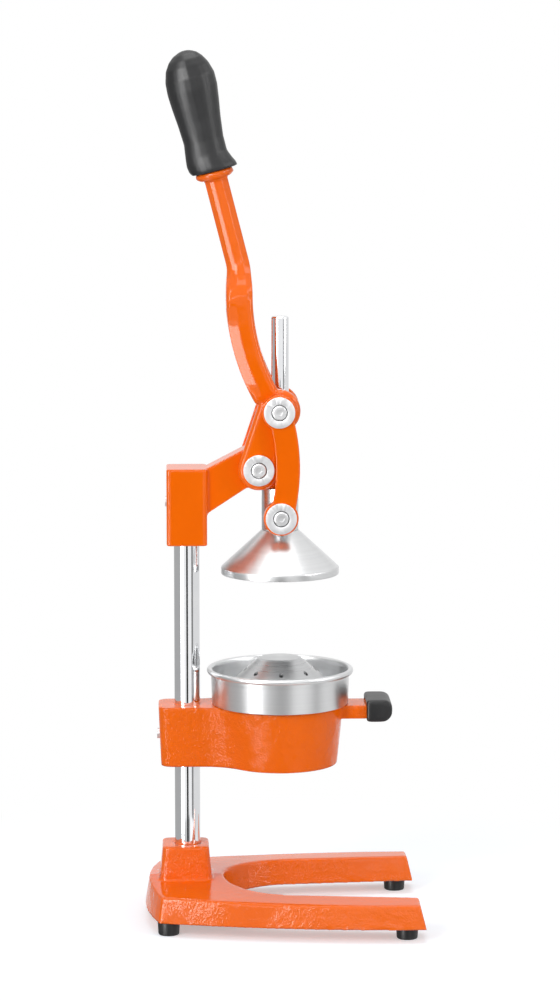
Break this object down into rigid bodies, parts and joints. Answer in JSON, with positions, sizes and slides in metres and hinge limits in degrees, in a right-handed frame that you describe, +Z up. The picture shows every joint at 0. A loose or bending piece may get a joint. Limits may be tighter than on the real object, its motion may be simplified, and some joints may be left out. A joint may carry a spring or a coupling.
{
  "type": "lever citrus juice press",
  "caption": "Upright lever press for citrus fruit: forked lever, links, guided rod with a cone bell, bowl with a perforated strainer, clamped on a column over an open-fronted base.",
  "frame": {"origin": "on the table, under the axis that the plunger moves on, 1.5 mm behind the middle of the footprint", "axes": "+X to the open end of the base, +Y to the left seen from behind the column, +Z up along the press axis"},
  "size_m": [0.215, 0.191, 0.6757],
  "materials": {
    "orange_enamel": "glossy enamel with a slight orange peel",
    "chrome_plate": "bright plated",
    "polished_stainless": "polished with fine turning lines",
    "brushed_stainless": "satin",
    "turned_steel": "fine turned",
    "zinc_plate": "bright zinc",
    "bronze_bush": "turned",
    "dark_rubber": "satin"
  },
  "bodies": {
    "stand": {"base_casting": "orange_enamel", "foot_front_left": "dark_rubber", "foot_front_right": "dark_rubber", "foot_rear_left": "dark_rubber", "foot_rear_right": "dark_rubber", "foot_screws": "zinc_plate", "column": "chrome_plate", "column_bolt": "zinc_plate", "column_washer": "zinc_plate", "head_casting": "orange_enamel", "head_grub_screw": "zinc_plate", "rod_bush": "bronze_bush", "cup_holder": "orange_enamel", "holder_grub_screw": "zinc_plate", "bumper": "dark_rubber", "juice_bowl": "polished_stainless", "strainer": "brushed_stainless", "lever_axle": "zinc_plate", "lever_axle_washers": "zinc_plate", "lever_axle_screws": "zinc_plate"},
    "lever": {"lever": "orange_enamel", "grip": "dark_rubber", "link_top_sleeves": "zinc_plate", "link_top_washers": "zinc_plate", "link_top_screws": "zinc_plate"},
    "links": {"link_near": "orange_enamel", "link_far": "orange_enamel", "link_bottom_sleeves": "zinc_plate", "link_bottom_washers": "zinc_plate", "link_bottom_screws": "zinc_plate"},
    "plunger": {"plunger_rod": "chrome_plate", "crosshead": "turned_steel", "rod_pin": "zinc_plate", "bell": "polished_stainless", "bell_screw": "zinc_plate"}
  },
  "joints": [
    {"name": "lever_pivot", "type": "hinge", "parent": "stand", "child": "lever", "pos_m": [-0.017, 0, 0.355], "axis": [0, 1, 0], "range_deg": [0, 155.9]},
    {"name": "link_pivot", "type": "hinge", "parent": "lever", "child": "links", "pos_m": [-0.00137, 0, 0.40038], "axis": [0, 1, 0], "range_deg": [-164.1, 0]},
    {"name": "plunger_slide", "type": "slide", "parent": "stand", "child": "plunger", "axis": [0, 0, -1], "range_m": [0, 0.09222]}
  ],
  "couplings": [
    {"joint": "link_pivot", "follows": "lever_pivot", "ratio": -1.0512},
    {"joint": "plunger_slide", "follows": "lever_pivot", "m_per_rad": 0.033889}
  ]
}
